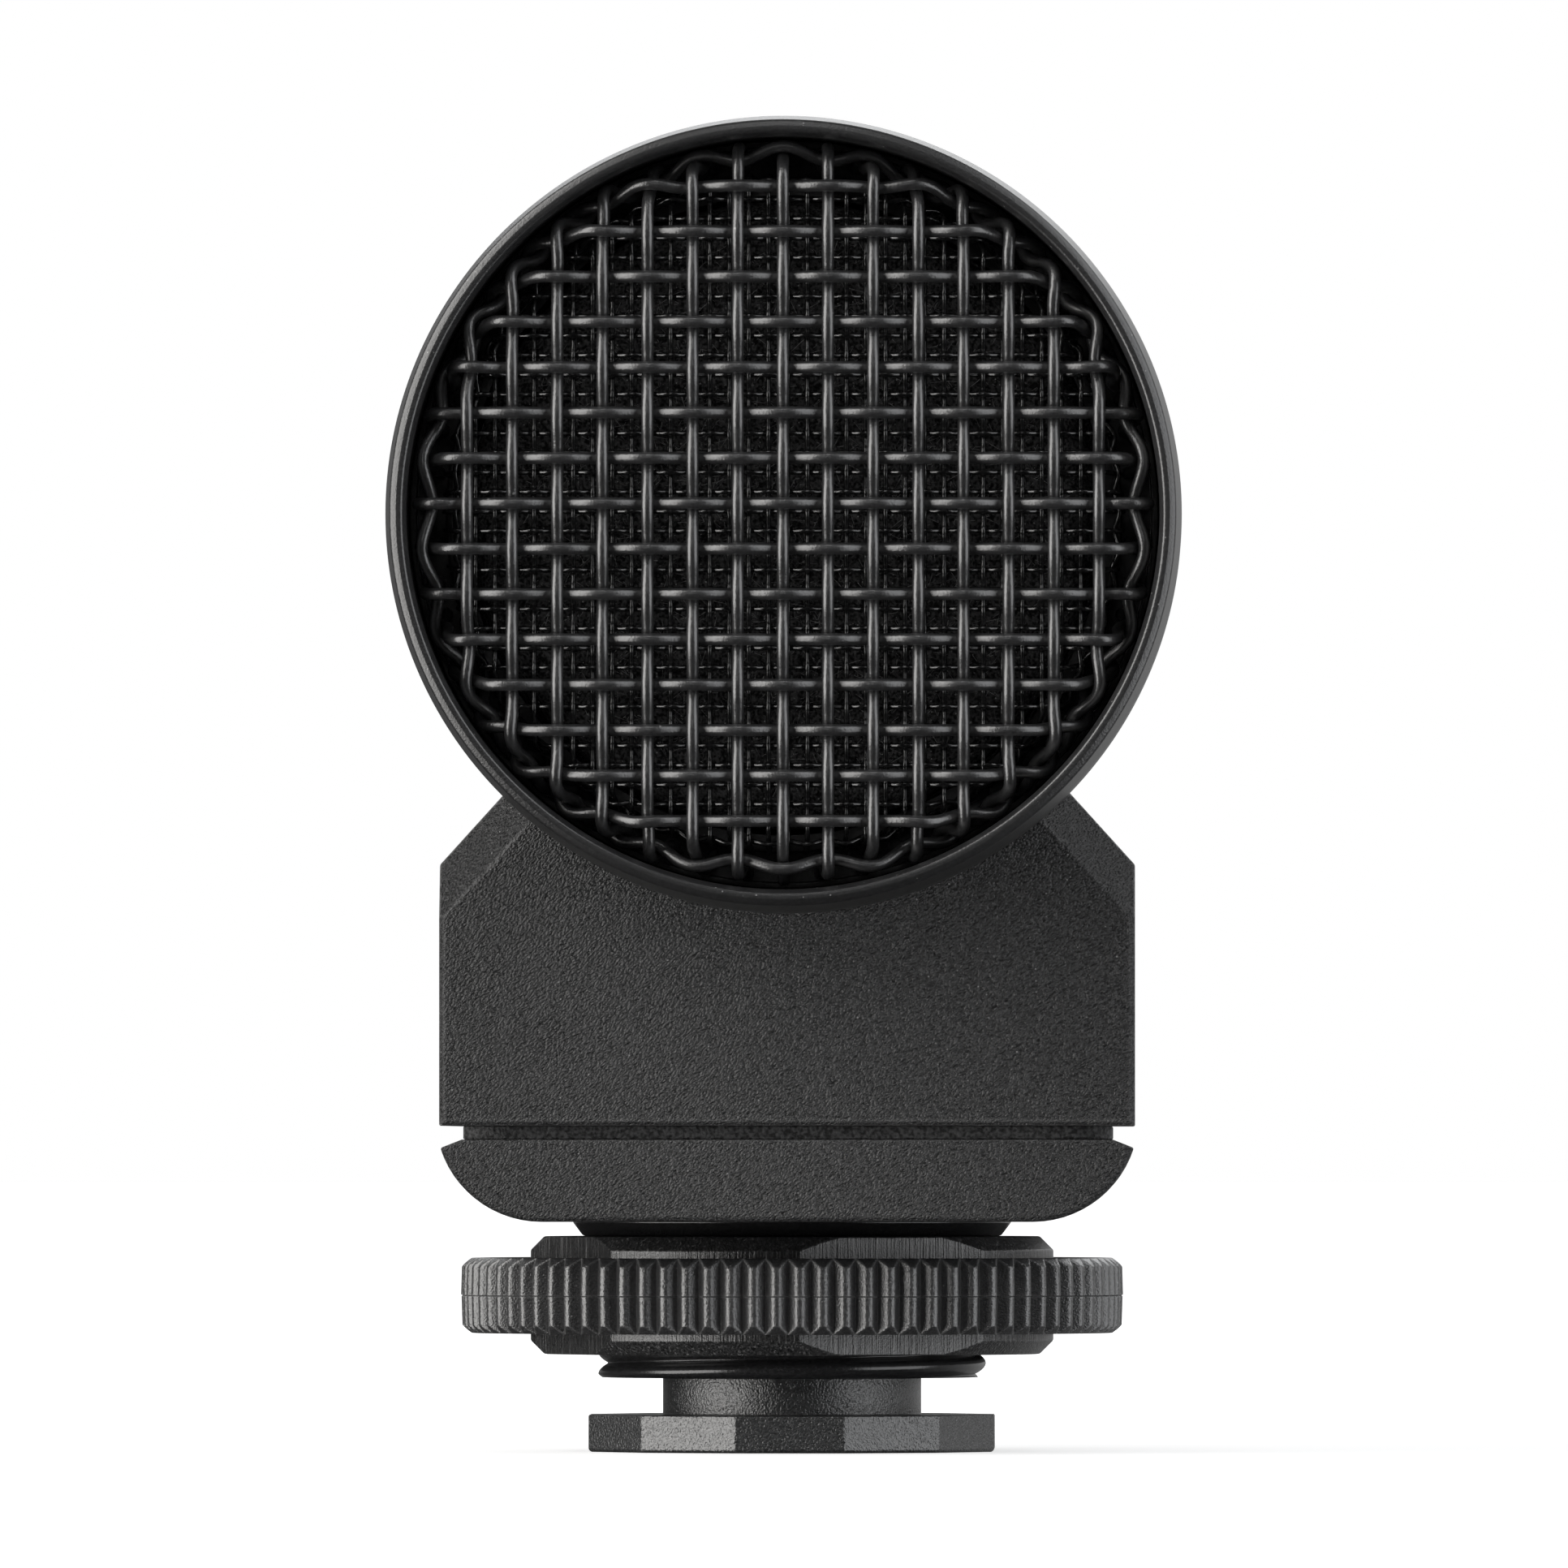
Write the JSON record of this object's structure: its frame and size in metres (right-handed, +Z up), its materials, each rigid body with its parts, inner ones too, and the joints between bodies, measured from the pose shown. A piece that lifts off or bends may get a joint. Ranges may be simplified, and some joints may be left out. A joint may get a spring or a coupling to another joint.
{
  "type": "on camera microphone",
  "caption": "Small directional microphone for a camera's accessory shoe, with a woven wire front grille and a knurled lock ring.",
  "frame": {"origin": "centre of the underside of the shoe foot, which is the bottom centre of the whole microphone", "axes": "+Z up, -Y towards the sound source (the grille faces -Y), +X to the right seen from the front"},
  "size_m": [0.0358, 0.069, 0.0602],
  "materials": {
    "foot_metal": "cast, painted dark grey, slightly rough",
    "screw_steel": "black oxide, satin",
    "stem_plastic": "black glass-filled nylon, moulded thread, glossy",
    "nut_plastic": "black, satin",
    "washer_nylon": "black nylon",
    "grip_plastic": "black, satin, moulded knurl",
    "base_plastic": "black, fine spark-eroded grain",
    "gasket_rubber": "black, matt",
    "housing_plastic": "black, fine spark-eroded grain",
    "fine_mesh_steel": "fine woven wire, black",
    "bezel_aluminium": "black, smooth satin",
    "rim_steel": "black, satin",
    "grille_wire": "black powder-coated wire, semi-gloss",
    "foam": "open-cell acoustic foam, black",
    "capsule_can": "plain",
    "cradle_plastic": "black",
    "isolator_rubber": "black silicone",
    "lead_sheath": "black PVC",
    "board_laminate": "green glass-epoxy",
    "part_plastic": "black moulded parts",
    "jack_plastic": "black",
    "jack_metal": "nickel plated",
    "contact_brass": "plated"
  },
  "bodies": {
    "housing": {"shoe_foot": "foot_metal", "foot_screw": "screw_steel", "threaded_stem": "stem_plastic", "stem_screws": "screw_steel", "base_plate": "base_plastic", "base_screws": "screw_steel", "base_gasket": "gasket_rubber", "main_housing": "housing_plastic", "side_screens": "fine_mesh_steel", "rear_cover": "housing_plastic", "rear_cover_screws": "screw_steel", "front_bezel": "bezel_aluminium", "grille_rim": "rim_steel", "grille_uprights": "grille_wire", "grille_levels": "grille_wire", "inner_screen": "fine_mesh_steel", "foam_liner": "foam", "capsule": "capsule_can", "capsule_cradle": "cradle_plastic", "front_isolator": "isolator_rubber", "rear_isolator": "isolator_rubber", "capsule_lead": "lead_sheath", "circuit_board": "board_laminate", "board_parts": "part_plastic", "jack_socket": "jack_plastic", "jack_nut": "jack_metal", "jack_contacts": "contact_brass"},
    "slip_washer": {"slip_washer": "washer_nylon"},
    "lock_ring": {"lock_nut": "nut_plastic", "knurled_grip": "grip_plastic"}
  },
  "joints": [
    {"name": "lock_ring_travel", "type": "slide", "parent": "housing", "child": "slip_washer", "axis": [0, 0, 1], "range_m": [-0.00125, 0]},
    {"name": "lock_ring_turn", "type": "hinge", "parent": "slip_washer", "child": "lock_ring", "pos_m": [0, 0, 0.00717], "axis": [0, 0, 1], "range_deg": [-450, 0]}
  ],
  "couplings": [
    {"joint": "lock_ring_travel", "follows": "lock_ring_turn", "m_per_rad": 0.00015915}
  ]
}
